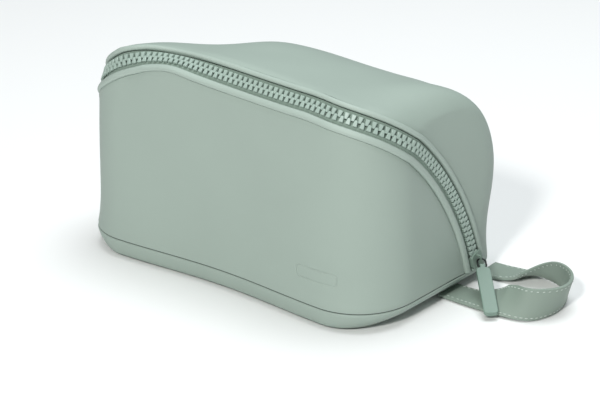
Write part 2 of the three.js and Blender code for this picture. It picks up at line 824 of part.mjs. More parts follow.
const pull = new THREE.Group();
const pullAcross = point(-pullDirection.y, pullDirection.x, 0).normalize();
const pullUp = pullDirection.clone().cross(pullAcross);
pull.quaternion.setFromRotationMatrix(
  new THREE.Matrix4().makeBasis(pullDirection, pullAcross, pullUp),
);
pull.position.copy(bandPoint(slider.frame, 0, barLift));
group.add(pull);
addNode('pull_link', linkSolid(), darkMetal, pull);
addNode('pull_tab', tabSolid(), rubber, pull);

const strapGap = 0.3 / strapEdge.getLength();
addNode('strap_front_end', strapPiece(0, strapFrom - strapGap, 1), leather);
addNode('strap_loop', strapPiece(strapFrom, strapTo, 34), leather);
addNode('strap_rear_end', strapPiece(strapTo + strapGap, 1, 1), leather);

export default group;
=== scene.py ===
import math
import bpy
from mathutils import Matrix, Vector


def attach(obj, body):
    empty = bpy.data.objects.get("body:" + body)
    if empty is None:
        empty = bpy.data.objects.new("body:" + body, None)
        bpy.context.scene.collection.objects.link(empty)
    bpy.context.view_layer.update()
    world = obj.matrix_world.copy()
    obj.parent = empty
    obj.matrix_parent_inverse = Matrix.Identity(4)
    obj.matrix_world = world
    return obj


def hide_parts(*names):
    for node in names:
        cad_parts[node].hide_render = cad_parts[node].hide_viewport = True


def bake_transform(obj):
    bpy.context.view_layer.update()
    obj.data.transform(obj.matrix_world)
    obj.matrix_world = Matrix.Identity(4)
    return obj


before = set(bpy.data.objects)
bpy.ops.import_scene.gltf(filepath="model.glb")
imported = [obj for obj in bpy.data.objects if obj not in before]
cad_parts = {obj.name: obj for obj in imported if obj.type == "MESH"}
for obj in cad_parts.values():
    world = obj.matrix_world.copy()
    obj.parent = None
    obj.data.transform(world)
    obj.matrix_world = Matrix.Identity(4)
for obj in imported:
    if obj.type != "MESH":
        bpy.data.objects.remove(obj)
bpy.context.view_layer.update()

context = bpy.context
mm = 0.001

# The camera stands at the front right of the bag and looks down on it a little.
cameraSet = {"azimuth": 39.0, "elevation": 22.5, "distance": 1.4, "aim": (0.01133, 0, 0.04194),
             "lens": 131.2, "sensor": 36, "nearest": 0.05, "farthest": 20}
cameraData = bpy.data.cameras.new("camera")
camera = bpy.data.objects.new("camera", cameraData)
context.scene.collection.objects.link(camera)
context.scene.camera = camera
turn = math.radians(cameraSet["azimuth"])
lift = math.radians(cameraSet["elevation"])
back = Vector((math.sin(turn) * math.cos(lift), -math.cos(turn) * math.cos(lift), math.sin(lift)))
camera.location = Vector(cameraSet["aim"]) + back * cameraSet["distance"]
camera.rotation_mode = "QUATERNION"
camera.rotation_quaternion = back.to_track_quat("Z", "Y")
cameraData.lens = cameraSet["lens"]
cameraData.sensor_width = cameraSet["sensor"]
cameraData.clip_start = cameraSet["nearest"]
cameraData.clip_end = cameraSet["farthest"]
print("camera set")

# The bag's surface follows the same formulas as its CAD solids, in mm.
# The front is at -y. Each sag starts at its From and is full after its Over.
bag = {"halfLength": 125, "halfDepth": 72, "frontCorner": 42, "rearCorner": 34,
       "ridge": 143.5, "ridgeSag": 1.5, "topShare": 0.998, "spineHalf": 66, "spineY": -48,
       "wallTop": 40, "wallInset": 2.5, "flareRise": 25, "seam": 13, "foot": 13.4,
       "squareFront": 6, "squareRight": 4.5, "squareRear": 2.9, "squareLeft": 2.5, "softCorner": 0.55,
       "lean": 0.033, "bow": 5, "bowMargin": 10, "bowEase": 1.2, "behindFrom": -50, "behindOver": 55,
       "slump": 15, "slumpFrom": -15, "slumpOver": 60,
       "leftDrop": 4, "leftDropFrom": -60, "leftDropOver": 45,
       "cornerDrop": 7, "cornerDropFrom": -75, "cornerDropOver": 40,
       "hump": 3, "humpX": 10, "humpY": 10, "humpLong": 45, "humpDeep": 35,
       "puff": 3.5, "puffFrom": 45, "puffOver": 80, "puffEase": 1.3,
       "frontTuck": 3, "endTuck": 17}
zipLine = {"top": 140.5, "tilt": 3.8, "endY": 36, "endZ": 14, "endWall": 60, "turnOver": 40,
           "right": {"side": 1, "flat": 55, "power": 3.1, "shoulder": 114.8, "sag": 9},
           "left": {"side": -1, "flat": 29, "power": 2.2, "shoulder": 97.3, "sag": 6},
           "stations": 210, "walk": 1600, "cutWithin": 8, "cutSlope": 0.6}
frontFlat = bag["halfLength"] - bag["frontCorner"]
shoulder = frontFlat + bag["frontCorner"] * math.pi / 2
endFlat = 2 * bag["halfDepth"] - bag["frontCorner"] - bag["rearCorner"]
rearArc = bag["rearCorner"] * math.pi / 2
halfRound = shoulder + endFlat + rearArc + bag["halfLength"] - bag["rearCorner"]
farOut = 260.0  # beyond the outline in every direction
outlineTries = 26


def clamp(value, low=0.0, high=1.0):
    return max(low, min(high, value))


def smooth(value):
    value = clamp(value)
    return value * value * (3 - 2 * value)


# A point of the bag's outline, s mm round from the middle of the front.
def outline(s):
    side = -1 if s < 0 else 1
    q = abs(s)
    rearTurn = shoulder + endFlat
    radius = bag["frontCorner"]
    if q <= frontFlat:
        x, y = q, -bag["halfDepth"]
    elif q <= shoulder:
        a = (q - frontFlat) / radius
        x, y = frontFlat + radius * math.sin(a), radius - bag["halfDepth"] - radius * math.cos(a)
    elif q <= rearTurn:
        x, y = bag["halfLength"], radius - bag["halfDepth"] + q - shoulder
    elif q <= rearTurn + rearArc:
        radius = bag["rearCorner"]
        a = (q - rearTurn) / radius
        x = bag["halfLength"] - radius + radius * math.cos(a)
        y = bag["halfDepth"] - radius + radius * math.sin(a)
    else:
        x, y = bag["halfLength"] - bag["rearCorner"] - (q - rearTurn - rearArc), bag["halfDepth"]
    return side * x, y


def outlineNormal(x, y):
    radius = bag["frontCorner"] if y < 0 else bag["rearCorner"]
    nx = math.copysign(max(abs(x) - bag["halfLength"] + radius, 0), x)
    ny = math.copysign(max(abs(y) - bag["halfDepth"] + radius, 0), y)
    size = math.hypot(nx, ny) or 1
    return nx / size, ny / size


def outlineDirection(s):
    x1, y1 = outline(s + 0.5)
    x0, y0 = outline(s - 0.5)
    return Vector((x1 - x0, y1 - y0, 0)).normalized()


def isInside(x, y):
    radius = bag["frontCorner"] if y < 0 else bag["rearCorner"]
    qx = abs(x) - bag["halfLength"] + radius
    qy = abs(y) - bag["halfDepth"] + radius
    return math.hypot(max(qx, 0), max(qy, 0)) + min(max(qx, qy), 0) < radius


# How square the bag's section is toward a side, and how high its top is there.
def profile(hubX, nx, ny):
    power = bag["squareFront"] * max(-ny, 0) ** 2 + bag["squareRear"] * max(ny, 0) ** 2
    power += (bag["squareRight"] if nx > 0 else bag["squareLeft"]) * nx ** 2
    power -= bag["softCorner"] * 4 * (max(nx, 0) * max(ny, 0)) ** 2
    return power, bag["ridge"] - bag["ridgeSag"] * (hubX / bag["spineHalf"]) ** 2


# The share of a sag at x. It grows toward the left.
def sagAt(x, sag):
    return smooth((bag[sag + "From"] - x) / bag[sag + "Over"])


# The outer face at a point of the flat map, which spreads out from a spine on the top.
def skin(vx, vy):
    hubX = clamp(vx, -bag["spineHalf"], bag["spineHalf"])
    hubY = bag["spineY"]
    away = max(math.hypot(vx - hubX, vy - hubY), 1e-6)
    ux, uy = (vx - hubX) / away, (vy - hubY) / away
    low, high = 0.0, farOut
    for _ in range(outlineTries):
        middle = (low + high) / 2
        if isInside(hubX + ux * middle, hubY + uy * middle):
            low = middle
        else:
            high = middle
    ring = away / low
    ox, oy = hubX + ux * low, hubY + uy * low
    nx, ny = outlineNormal(ox, oy)
    power, ridge = profile(hubX, nx, ny)
    wallTop, seam = bag["wallTop"], bag["seam"]
    if ring > 1:
        z = wallTop - (wallTop - seam) * (ring - 1)
        flare = 1 - (1 - clamp((z - seam) / bag["flareRise"])) ** 2
        inset = bag["wallInset"] * (flare + (1 - flare) * nx ** 4)
        x, y = ox - nx * inset, oy - ny * inset
    else:
        steep = (1 - ring) ** (power / 2)
        a = steep / (steep + ring ** (power / 2)) * math.pi / 2
        out = max(math.cos(a), 1e-9) ** (2 / power)
        up = max(math.sin(a), 1e-9) ** (2 / power)
        x = hubX + (ox - nx * bag["wallInset"] - hubX) * out
        y = hubY + (oy - ny * bag["wallInset"] - hubY) * out
        z = wallTop + (ridge - wallTop) * up
    bow = math.cos(clamp(ox / (frontFlat + bag["bowMargin"]), -1, 1) * math.pi / 2) ** 2
    y += bag["bow"] * bow * max(-ny, 0) ** 4 * clamp(ring * bag["bowEase"])
    rise = clamp((z - wallTop) / (ridge - wallTop))
    behind = smooth((y - bag["behindFrom"]) / bag["behindOver"])
    hump = math.exp(-((x - bag["humpX"]) / bag["humpLong"]) ** 2
                    - ((y - bag["humpY"]) / bag["humpDeep"]) ** 2)
    z -= bag["slump"] * sagAt(x, "slump") * behind * rise
    z -= bag["leftDrop"] * sagAt(x, "leftDrop") * behind * rise
    z -= bag["cornerDrop"] * sagAt(x, "cornerDrop") * (1 - behind) * rise
    z += bag["hump"] * hump * rise
    swell = math.sin(math.pi * clamp((z - bag["puffFrom"]) / bag["puffOver"]))
    puff = bag["puff"] * clamp(ny * bag["puffEase"]) * swell * clamp(ring * bag["puffEase"])
    return Vector((x + nx * puff + bag["lean"] * z, y + ny * puff, z))


# The point of the flat map that gives the wall at s and height z.
def mapAt(s, z):
    x, y = outline(s)
    hubX = clamp(x, -bag["spineHalf"], bag["spineHalf"])
    power, ridge = profile(hubX, *outlineNormal(x, y))
    ring = 1 + (bag["wallTop"] - z) / (bag["wallTop"] - bag["seam"])
    if z > bag["wallTop"]:
        q = clamp((z - bag["wallTop"]) / (ridge - bag["wallTop"]), 0, bag["topShare"])
        share = math.asin(q ** (power / 2)) / (math.pi / 2)
        ring = 1 / (1 + (share / (1 - share)) ** (2 / power))
    return Vector((hubX + (x - hubX) * ring, bag["spineY"] + (y - bag["spineY"]) * ring))


def wallAt(s, z):
    return skin(*mapAt(s, z))


# The zip runs down each end of the bag on an arc that lies in one plane.
trackEnd = shoulder + zipLine["endY"] + bag["halfDepth"] - bag["frontCorner"]
for end in (zipLine["left"], zipLine["right"]):
    high = wallAt(end["side"] * shoulder, end["shoulder"])
    low = wallAt(end["side"] * (shoulder + zipLine["endWall"]), zipLine["endZ"])
    chordY, chordZ = zipLine["endY"] - high.y, zipLine["endZ"] - high.z
    chord = math.hypot(chordY, chordZ)
    radius = (chord ** 2 / 4 + end["sag"] ** 2) / (2 * end["sag"])
    reach = (radius - end["sag"]) / chord
    end["startY"], end["radius"] = high.y, radius
    end["arcY"] = (high.y + zipLine["endY"]) / 2 + chordZ * reach
    end["arcZ"] = (high.z + zipLine["endZ"]) / 2 - chordY * reach
    end["slope"] = (high.x - low.x) / (high.z - low.z)
    end["x"] = low.x - end["slope"] * low.z
    end["out"] = Vector((end["side"], 0, -end["side"] * end["slope"])).normalized()


def endOf(s):
    return zipLine["left" if s < 0 else "right"]


# The zip's height between the two shoulders.
def zipHeight(s):
    end = endOf(s)
    q = abs(s)
    level = zipLine["top"] - zipLine["tilt"] * (s / 100) * math.sqrt(1 - q / shoulder)
    fall = clamp((q - end["flat"]) / (shoulder - end["flat"])) ** end["power"]
    return level - (zipLine["top"] - end["shoulder"]) * fall


def trackPoint(s):
    if abs(s) <= shoulder:
        return wallAt(s, zipHeight(s))
    end = endOf(s)
    share = (abs(s) - shoulder) / (trackEnd - shoulder)
    y = end["startY"] + (zipLine["endY"] - end["startY"]) * share
    z = end["arcZ"] + math.sqrt(end["radius"] ** 2 - (y - end["arcY"]) ** 2)
    return Vector((end["x"] + end["slope"] * z, y, z))


# Across points away from the front panel, and out points off the bag.
def trackFrame(s):
    start, finish = max(s - 0.5, -trackEnd), min(s + 0.5, trackEnd)
    along = (trackPoint(finish) - trackPoint(start)).normalized()
    out = endOf(s)["out"].copy()
    if abs(s) < shoulder:
        z = zipHeight(s)
        wall = (wallAt(s + 1, z) - wallAt(s - 1, z)).cross(wallAt(s, z + 1) - wallAt(s, z - 1))
        turned = smooth((abs(s) - shoulder + zipLine["turnOver"]) / zipLine["turnOver"])
        out = out.lerp(wall.normalized(), 1 - turned)
    out = (out - along * out.dot(along)).normalized()
    return {"s": s, "at": trackPoint(s), "along": along, "out": out, "across": out.cross(along)}


def bandPoint(place, across, lift):
    return place["at"] + place["across"] * across + place["out"] * lift


def cutLevel(place, spot, z):
    return spot + place["along"] * ((z - spot.z) / place["along"].z)


# Where even steps along a line fall: the point before each one, and the share of the way to the next.
def evenSteps(points, count):
    reached = [0.0]
    for a, b in zip(points, points[1:]):
        reached.append(reached[-1] + (b - a).length)
    steps, k = [], 1
    for i in range(count + 1):
        target = reached[-1] * i / count
        while k < len(points) - 1 and reached[k] < target:
            k += 1
        share = (target - reached[k - 1]) / max(reached[k] - reached[k - 1], 1e-9)
        steps.append((k - 1, clamp(share)))
    return steps, reached[-1]


walk = [-trackEnd + 2 * trackEnd * i / zipLine["walk"] for i in range(zipLine["walk"] + 1)]
zipSteps, zipLength = evenSteps([trackPoint(s) for s in walk], zipLine["stations"])
stations = [walk[k] + (walk[k + 1] - walk[k]) * share for k, share in zipSteps]
frames = [trackFrame(s) for s in stations]
print("surface ready")


# A socket in an expression. Each operator adds its Math node.
class Maths:
    def __init__(self, tree, socket):
        self.tree, self.socket = tree, socket

    def node(self, kind, inputs=(), output=0, **settings):
        made = self.tree.nodes.new(kind)
        for key, value in settings.items():
            setattr(made, key, value)
        for key, value in dict(inputs).items():
            if isinstance(value, Maths):
                self.tree.links.new(value.socket, made.inputs[key])
            else:
                made.inputs[key].default_value = value
        return Maths(self.tree, made.outputs[output])

    def do(self, operation, other=0.0):
        return self.node("ShaderNodeMath", {0: self, 1: other}, operation=operation)

    def into(self, shader, socket):
        self.tree.links.new(self.socket, shader.inputs[socket])

    def __add__(self, other):
        return self.do("ADD", other)

    def __radd__(self, other):
        return self.do("ADD", other)

    def __sub__(self, other):
        return self.do("SUBTRACT", other)

    def __rsub__(self, other):
        return self.do("MULTIPLY", -1.0).do("ADD", other)

    def __mul__(self, other):
        return self.do("MULTIPLY", other)

    def __rmul__(self, other):
        return self.do("MULTIPLY", other)


def material(name, color, rough, look=None, metal=0.0, **settings):
    made = bpy.data.materials.new(name)
    made.use_nodes = True
    tree = made.node_tree
    shader = tree.nodes["Principled BSDF"]
    shader.inputs["Base Color"].default_value = (*color, 1)
    shader.inputs["Roughness"].default_value = rough
    shader.inputs["Metallic"].default_value = metal
    made.diffuse_color = (*color, 1)
    if look:
        coords = tree.nodes.new("ShaderNodeTexCoord")
        look(shader, Maths(tree, coords.outputs["Object"]), color, **settings)
    return made


def tint(place, color, share, spread):
    dark = tuple(c * (1 - spread) for c in color) + (1,)
    light = tuple(min(c * (1 + spread), 1) for c in color) + (1,)
    return place.node("ShaderNodeMix", {0: share, 6: dark, 7: light}, output=2, data_type="RGBA")


def noise(place, scale, detail=4.0, rough=0.5):
    inputs = {"Vector": place, "Scale": scale, "Detail": detail, "Roughness": rough}
    return place.node("ShaderNodeTexNoise", inputs)


def thread(place, scale, direction):
    inputs = {"Vector": place, "Scale": scale, "Distortion": 0.6, "Detail": 1.0}
    return place.node("ShaderNodeTexWave", inputs, wave_type="BANDS", bands_direction=direction)


def bump(place, shader, height, strength, distance):
    inputs = {"Height": height, "Strength": strength, "Distance": distance}
    place.node("ShaderNodeBump", inputs).into(shader, "Normal")


# A blank badge low on the right of the front panel, in metres.
badge = {"x": 0.0795, "z": 0.033, "halfWidth": 0.0128, "halfHeight": 0.0012, "corner": 0.0025,
         "sharpness": 1500.0, "step": 0.0004, "groove": 9.0, "field": 3.0}


# Presses a rounded frame into the height and lifts the field inside it.
def pressBadge(place, height):
    x = place.node("ShaderNodeSeparateXYZ", {0: place})
    z = place.node("ShaderNodeSeparateXYZ", {0: place}, output=2)
    qx = (x - badge["x"]).do("ABSOLUTE") - badge["halfWidth"]
    qz = (z - badge["z"]).do("ABSOLUTE") - badge["halfHeight"]
    far = (qx.do("MAXIMUM", 0.0) * qx.do("MAXIMUM", 0.0)
           + qz.do("MAXIMUM", 0.0) * qz.do("MAXIMUM", 0.0)).do("SQRT")
    edge = far + qx.do("MAXIMUM", qz).do("MINIMUM", 0.0)
    line = (edge - badge["corner"]).do("ABSOLUTE") * badge["sharpness"]
    groove = (1.0 - line).do("MAXIMUM", 0.0)
    field = (badge["corner"] - edge).do("MAXIMUM", 0.0).do("MINIMUM", badge["step"]) * (1 / badge["step"])
    return height - groove * badge["groove"] + field * badge["field"]


leatherGrain = {"cloud": 22, "pores": 900.0, "fine": 1500, "swell": 60, "spread": 0.06}


def leatherLook(shader, place, color, badged=False):
    cloud = noise(place, leatherGrain["cloud"], 3)
    pores = place.node("ShaderNodeTexVoronoi", {"Vector": place, "Scale": leatherGrain["pores"]})
    fine = noise(place, leatherGrain["fine"], 2)
    tint(place, color, cloud * 0.8 + fine * 0.2, leatherGrain["spread"]).into(shader, "Base Color")
    (cloud * 0.16 + 0.5).into(shader, "Roughness")
    height = pores * 0.35 + fine * 0.25 + noise(place, leatherGrain["swell"], 3) * 1.6
    if badged:
        height = pressBadge(place, height)
    bump(place, shader, height, 0.35, 0.00012)


def weaveLook(shader, place, color, pitch):
    cloth = thread(place, pitch, "DIAGONAL") * 0.6 + thread(place, pitch * 1.1, "X") * 0.4
    tint(place, color, cloth * 0.7 + noise(place, 40) * 0.3, 0.16).into(shader, "Base Color")
    bump(place, shader, cloth, 0.5, 0.0002)


def plasticLook(shader, place, color):
    cloud = noise(place, 120, 3)
    tint(place, color, cloud, 0.05).into(shader, "Base Color")
    (cloud * 0.14 + 0.36).into(shader, "Roughness")
    bump(place, shader, noise(place, 900, 2), 0.15, 0.00005)


# The seam colour is painted shade, near black, for the crease between the base's rim and the covers.
colors = {"leather": (0.312, 0.382, 0.337), "welt": (0.35, 0.425, 0.378), "strap": (0.235, 0.295, 0.25),
          "tape": (0.235, 0.31, 0.262), "lining": (0.13, 0.15, 0.14), "board": (0.16, 0.17, 0.16),
          "teeth": (0.33, 0.42, 0.37), "slider": (0.22, 0.3, 0.25), "link": (0.035, 0.04, 0.038),
          "pull": (0.17, 0.25, 0.206), "thread": (0.5, 0.57, 0.52), "seam": (0.06, 0.08, 0.07),
          "floor": (0.88, 0.88, 0.875), "sky": (0.93, 0.97, 1.0)}
leather = material("leather", colors["leather"], 0.58, leatherLook)
leatherBadge = material("leather_front", colors["leather"], 0.58, leatherLook, badged=True)
leatherWelt = material("leather_welt", colors["welt"], 0.52, leatherLook)
leatherStrap = material("leather_strap", colors["strap"], 0.58, leatherLook)
tapeCloth = material("zip_tape", colors["tape"], 0.85, weaveLook, pitch=420)
liningCloth = material("lining", colors["lining"], 0.9, weaveLook, pitch=300)
boardCard = material("board", colors["board"], 0.8, plasticLook)
toothPlastic = material("teeth", colors["teeth"], 0.42, plasticLook)
sliderPaint = material("slider", colors["slider"], 0.4, plasticLook, metal=0.2)
darkMetal = material("dark_metal", colors["link"], 0.34, plasticLook, metal=0.9)
pullRubber = material("rubber", colors["pull"], 0.6, plasticLook)
threadCloth = material("thread", colors["thread"], 0.8, weaveLook, pitch=900)
seamShade = material("seam_shade", colors["seam"], 0.9, plasticLook)
print("materials ready")


# Points are in mm and objects in metres.
def newObject(name, points, faces, finish):
    mesh = bpy.data.meshes.new(name)
    mesh.from_pydata([tuple(p * mm) for p in points], [], faces)
    mesh.materials.append(finish)
    mesh.update()
    made = bpy.data.objects.new(name, mesh)
    context.scene.collection.objects.link(made)
    return made


def select(*objects):
    bpy.ops.object.select_all(action="DESELECT")
    for item in objects:
        item.select_set(True)
    context.view_layer.objects.active = objects[0]


def finishMesh(made, angle):
    select(made)
    bpy.ops.object.mode_set(mode="EDIT")
    bpy.ops.mesh.select_all(action="SELECT")
    bpy.ops.mesh.normals_make_consistent(inside=False)
    bpy.ops.object.mode_set(mode="OBJECT")
    bpy.ops.object.shade_smooth_by_angle(angle=math.radians(angle))
    return made


# Skins a row of rings. The ends are closed across a flat section, closed by one face, or joined.
def loft(name, rings, finish, ends="across", angle=60):
    size = len(rings[0])
    points = [p for ring in rings for p in ring]
    faces = []
    for i in range(len(rings) if ends == "joined" else len(rings) - 1):
        here, there = i * size, ((i + 1) % len(rings)) * size
        for j in range(size):
            k = (j + 1) % size
            faces.append((here + j, here + k, there + k, there + j))
    far = (len(rings) - 1) * size
    if ends == "across":
        for j in range(size // 2 - 1):
            m = size - 1 - j
            faces.append((j, j + 1, m - 1, m))
            faces.append((far + j, far + m, far + m - 1, far + j + 1))
    elif ends == "faced":
        faces.append(tuple(range(size))[::-1])
        faces.append(tuple(far + j for j in range(size)))
    return finishMesh(newObject(name, points, faces, finish), angle)


# Places one copy of a small shape by each matrix and joins them.
def scatter(name, shape, places, finish):
    copies = []
    for place in places:
        mesh = shape.data.copy()
        mesh.transform(place)
        copy = bpy.data.objects.new(name, mesh)
        context.scene.collection.objects.link(copy)
        copies.append(copy)
    select(*copies)
    bpy.ops.object.join()
    made = context.object
    made.name = name
    made.data.materials.clear()
    made.data.materials.append(finish)
    return made


# The edges are how far the covers stay from the zip's line. Depths are under the outer face.
covers = {"frontEdge": -9.9, "frontStart": 13.9, "frontRows": 52, "frontEase": 3, "frontCalm": 16,
          "rearEdge": 8.9, "rearRows": 64, "rearEase": 6, "rearCalm": 22,
          "leather": (0, 1.2), "inner": (1.6, 5.6), "roll": 0.35, "edgeRows": 3,
          "frontWave": 0.7, "rearWave": 0.9, "waveEase": 5}

# How the rear cover's columns run from the zip over the top and down to the base.
rearFlow = {"reach": 9, "cutWithin": 6, "cutLift": 2, "cutSlope": 0.9, "startGap": 2,
            "guideGap": 4, "guideSpan": 0.35, "bendBefore": 30, "bendOver": 40, "walk": 96}

# Each wave of the padding: its share, its lengths along x, y and z, and its phase.
softWaves = [(0.5, 31, 43, 37, 0.4), (0.3, -19, 23, 29, 1.7), (0.2, 13, -17, 21, 2.9)]


def frontColumns(places):
    grid = []
    rows, foot = covers["frontRows"], bag["foot"]
    for place in places:
        spot = bandPoint(place, covers["frontEdge"], 0)
        s = place["s"] + (spot - place["at"]).dot(outlineDirection(place["s"]))
        offset = spot - wallAt(s, spot.z)
        column = []
        for j in range(rows + 1):
            down = j / rows
            z = spot.z + (foot - spot.z) * down
            column.append(wallAt(s, z) + offset * (1 - down) ** covers["frontEase"])
        grid.append(column)
    return grid


def rearColumns(places):
    grid = []
    rows, foot, fine = covers["rearRows"], bag["foot"], rearFlow["walk"]
    ridge = profile(0, 0, -1)[1]
    footEnd = trackEnd + rearFlow["reach"]
    for place in places:
        spot = bandPoint(place, covers["rearEdge"], 0)
        near = trackEnd - abs(place["s"])
        if near < rearFlow["cutWithin"]:
            spot = cutLevel(place, spot, foot + rearFlow["cutLift"] + near * rearFlow["cutSlope"])
        s = place["s"] + (spot - place["at"]).dot(outlineDirection(place["s"]))
        start = mapAt(s, min(spot.z, ridge - rearFlow["startGap"]))
        share = place["s"] / trackEnd
        footS = math.copysign(halfRound + (footEnd - halfRound) * abs(share), share or 1)
        finish = mapAt(footS, foot)
        span = rearFlow["guideSpan"] * (spot - skin(*finish)).length
        sideways = span * place["across"].dot(outlineDirection(s))
        upward = spot.z + span * place["across"].z
        guide = mapAt(s + sideways, min(upward, ridge - rearFlow["guideGap"]))
        bend = smooth((rearFlow["bendBefore"] + abs(place["s"]) - shoulder) / rearFlow["bendOver"])
        guide = guide.lerp(start.lerp(finish, 0.5), 1 - bend)
        line = []
        for k in range(fine + 1):
            t = k / fine
            line.append(skin(*(start * (1 - t) ** 2 + guide * (2 * t * (1 - t)) + finish * t * t)))
        offset = spot - line[0]
        column = []
        for j, (k, part) in enumerate(evenSteps(line, rows)[0]):
            eased = offset * (1 - j / rows) ** covers["rearEase"]
            column.append(line[k].lerp(line[k + 1], part) + eased)
        grid.append(column)
    return grid


# Evens out the inside of a grid, its borders held.
def calm(grid, rounds):
    for _ in range(rounds):
        before = [list(column) for column in grid]
        for i in range(1, len(grid) - 1):
            for j in range(2, len(grid[0]) - 2):
                around = before[i - 1][j] + before[i + 1][j] + before[i][j - 1] + before[i][j + 1]
                grid[i][j] = before[i][j] * 0.5 + around * 0.125


# The first rows beside the zip take its own outward direction.
def gridNormals(grid, side, beside):
    normals = []
    last = len(grid) - 1
    for i, column in enumerate(grid):
        row = []
        for j in range(len(column)):
            a = column[max(j - 1, 0)] - column[min(j + 1, len(column) - 1)]
            b = grid[max(i - 1, 0)][j] - grid[min(i + 1, last)][j]
            n = a.cross(b).normalized() * side
            near = clamp(1 - j / covers["edgeRows"])
            row.append((n * (1 - near) + beside[i]["out"] * near).normalized())
        normals.append(row)
    return normals


# Soft hollows and swells of the padded leather, growing away from the seams.
def relax(grid, normals, depth):
    rows = len(grid[0]) - 1
    for i, column in enumerate(grid):
        for j in range(rows + 1):
            fade = smooth(j / rows * covers["waveEase"]) * smooth((rows - j) / rows * covers["waveEase"])
            p = column[j]
            wave = sum(a * math.sin(p.x / u + p.y / v + p.z / w + c) for a, u, v, w, c in softWaves)
            column[j] = p + normals[i][j] * depth * fade * wave


# A shell between two depths under the outer face, with its long edges rolled.
def shell(name, grid, normals, depths, finish):
    top, bottom = depths
    rings = []
    for column, normal in zip(grid, normals):
        last = len(column) - 1
        outer, inner = [], []
        for j in range(last + 1):
            ease = covers["roll"] if j in (0, last) else 0
            outer.append(column[j] - normal[j] * (top + ease))
            inner.append(column[j] - normal[j] * (bottom - ease))
        rings.append(outer + inner[::-1])
    return loft(name, rings, finish)


# Every second column and fourth row are enough for the inside.
def thinned(grid, skip):
    return [column[::4] for column in grid[skip:len(grid) - skip:2]]


edge, lowest = covers["frontEdge"], covers["frontStart"]
frontPlaces = [place for place in frames if bandPoint(place, edge, 0).z > lowest]
frontGrid = frontColumns(frontPlaces)
calm(frontGrid, covers["frontCalm"])
frontNormals = gridNormals(frontGrid, 1, frontPlaces)
rearGrid = rearColumns(frames)
calm(rearGrid, covers["rearCalm"])
rearNormals = gridNormals(rearGrid, -1, frames)
relax(frontGrid, frontNormals, covers["frontWave"])
relax(rearGrid, rearNormals, covers["rearWave"])
print("grids ready")


def onFront(made):
    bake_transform(made)


def onBag(made):
    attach(made, "bag")


frontCover = shell("front_cover", frontGrid, frontNormals, covers["leather"], leatherBadge)
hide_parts("front_panel")
rearCover = shell("rear_cover", rearGrid, rearNormals, covers["leather"], leather)
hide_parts("rear_panel")
innerGrid, innerNormals = thinned(frontGrid, 0), thinned(frontNormals, 0)
frontInner = shell("front_inner", innerGrid, innerNormals, covers["inner"], liningCloth)
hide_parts("front_foam", "front_lining", "end_foam_left", "end_foam_right")
innerGrid, innerNormals = thinned(rearGrid, 2), thinned(rearNormals, 2)
rearInner = shell("rear_inner", innerGrid, innerNormals, covers["inner"], liningCloth)
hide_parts("rear_foam", "rear_lining")
for made, finish in ((frontCover, "leather"), (frontInner, "lining")):
    onFront(made)
for made, finish in ((rearCover, "leather"), (rearInner, "lining")):
    onBag(made)
print("covers done")

# The base's section from the floor up the outside, over its rim and down the inside: height, then inset.
# Its seam entry is the section of a thin near-black ring of painted shade that fills the crease between
# the base's rim and the covers.
baseBand = {"count": 360,
            "section": ((0, 2.9), (0.5, 2.2), (1.1, 1.2), (1.9, 0.4), (3, 0.1), (4.4, 0), (5.6, 0), (7, 0),
                        (8.5, 0), (10, 0), (11, 0), (11.8, 0), (12.35, 0.15), (12.6, 0.5), (12.6, 1.1),
                        (12.3, 1.5), (10, 1.6), (6, 1.6), (3, 1.6), (1.6, 1.6)),
            "seam": ((12.7, 1.1), (12.7, 0.65), (13.3, 0.65), (13.3, 1.1))}
baseSeam = []
for i in range(baseBand["count"]):
    s = (i + 0.5) * 2 * halfRound / baseBand["count"] - halfRound
    nx, ny = outlineNormal(*outline(s))
    baseSeam.append((wallAt(s, bag["seam"]), nx, ny))


def baseRing(z, extra):
    ring = []
    for seam, nx, ny in baseSeam:
        tuck = bag["frontTuck"] + (bag["endTuck"] - bag["frontTuck"]) * nx ** 2
        inset = tuck * (1 - z / bag["seam"]) ** 2 + extra
        ring.append(Vector((seam.x - nx * inset, seam.y - ny * inset, z)))
    return ring


baseRings = [baseRing(z, extra) for z, extra in baseBand["section"]]
baseCover = loft("base_cover", baseRings, leather, ends="faced", angle=50)
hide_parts("base_panel")
onBag(baseCover)

# A ring of painted shade: the near-black seam_shade colour laid in the crease where the covers meet the
# base's rim.
seamShadeRings = [list(ring) for ring in zip(*(baseRing(z, extra) for z, extra in baseBand["seam"]))]
seamShadeLine = loft("base_seam_shade", seamShadeRings, seamShade, ends="joined", angle=40)
onBag(seamShadeLine)
print("base done")

# Sections of the strips beside the zip: places across it and lifts above it.
welt = {"across": -7.5, "lift": 0.1, "wide": 2.3, "high": 1.9}
lip = {"across": 7.1, "lift": 0.2, "wide": 1.65, "high": 2.0}
rounding = {"count": 16, "square": 2.6}
tape = [(0.9, -0.25), (1.6, -0.1), (2.6, -0.1), (3.8, -0.1), (4.6, -0.15), (5.1, -0.3),
        (5.1, -0.7), (4.0, -0.9), (2.4, -0.9), (1.3, -0.9), (0.9, -0.7), (0.8, -0.45)]


# The strips are cut along a slope where they meet the base.
def stripRings(section):
    rings = []
    for place in frames:
        ring = []
        near = trackEnd - abs(place["s"])
        level = bag["foot"] + near * zipLine["cutSlope"]
        for across, lift in section:
            spot = bandPoint(place, across, lift)
            if near < zipLine["cutWithin"] and spot.z < level:
                spot = cutLevel(place, spot, level)
            ring.append(spot)
        rings.append(ring)
    return rings


def roundSection(across, lift, wide, high):
    section = []
    power = 2 / rounding["square"]
    for k in range(rounding["count"]):
        a = (k + 0.5) * 2 * math.pi / rounding["count"]
        c, s = math.cos(a), math.sin(a)
        section.append((across + wide * math.copysign(abs(c) ** power, c),
                        lift + high * math.copysign(abs(s) ** power, s)))
    return section


